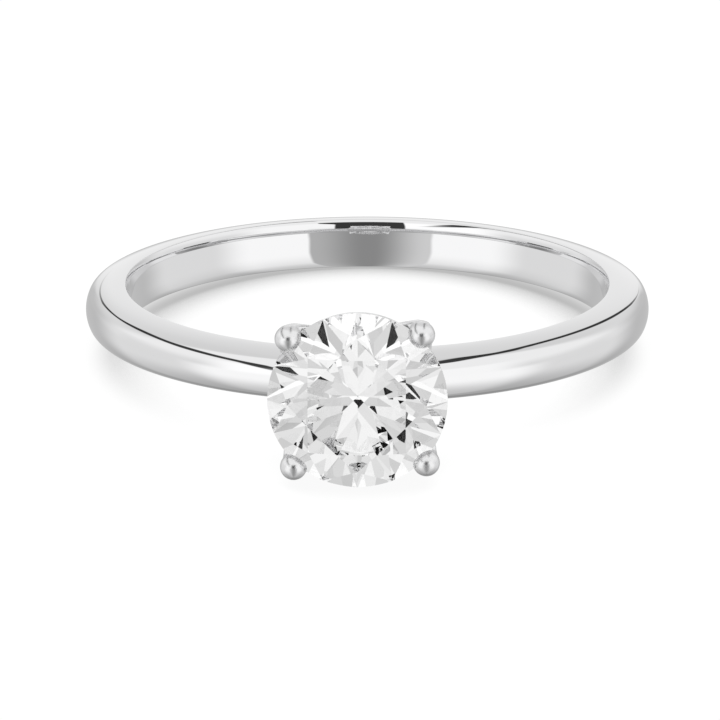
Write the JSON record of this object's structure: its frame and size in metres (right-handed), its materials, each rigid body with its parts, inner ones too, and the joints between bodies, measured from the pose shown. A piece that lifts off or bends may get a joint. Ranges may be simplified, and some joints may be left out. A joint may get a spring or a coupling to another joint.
{
  "type": "engagement ring",
  "caption": "Solitaire engagement ring with a plain polished band and a round brilliant stone held by bead-tipped prongs.",
  "frame": {"origin": "centre of the finger hole, in the middle of the band's width", "axes": "+Z along the finger, through the finger hole; the stone faces -Y; +X to the right seen from in front of the stone"},
  "size_m": [0.0204, 0.0233, 0.0062],
  "materials": {
    "polished_white_metal": "mirror-polished white gold or platinum",
    "clear_stone": "colourless faceted stone, polished"
  },
  "bodies": {
    "root": {"shank": "polished_white_metal", "lower_gallery_rail": "polished_white_metal", "upper_gallery_rail": "polished_white_metal", "prong_upper_left": "polished_white_metal", "prong_upper_right": "polished_white_metal", "prong_lower_left": "polished_white_metal", "prong_lower_right": "polished_white_metal", "round_brilliant": "clear_stone"}
  },
  "joints": []
}
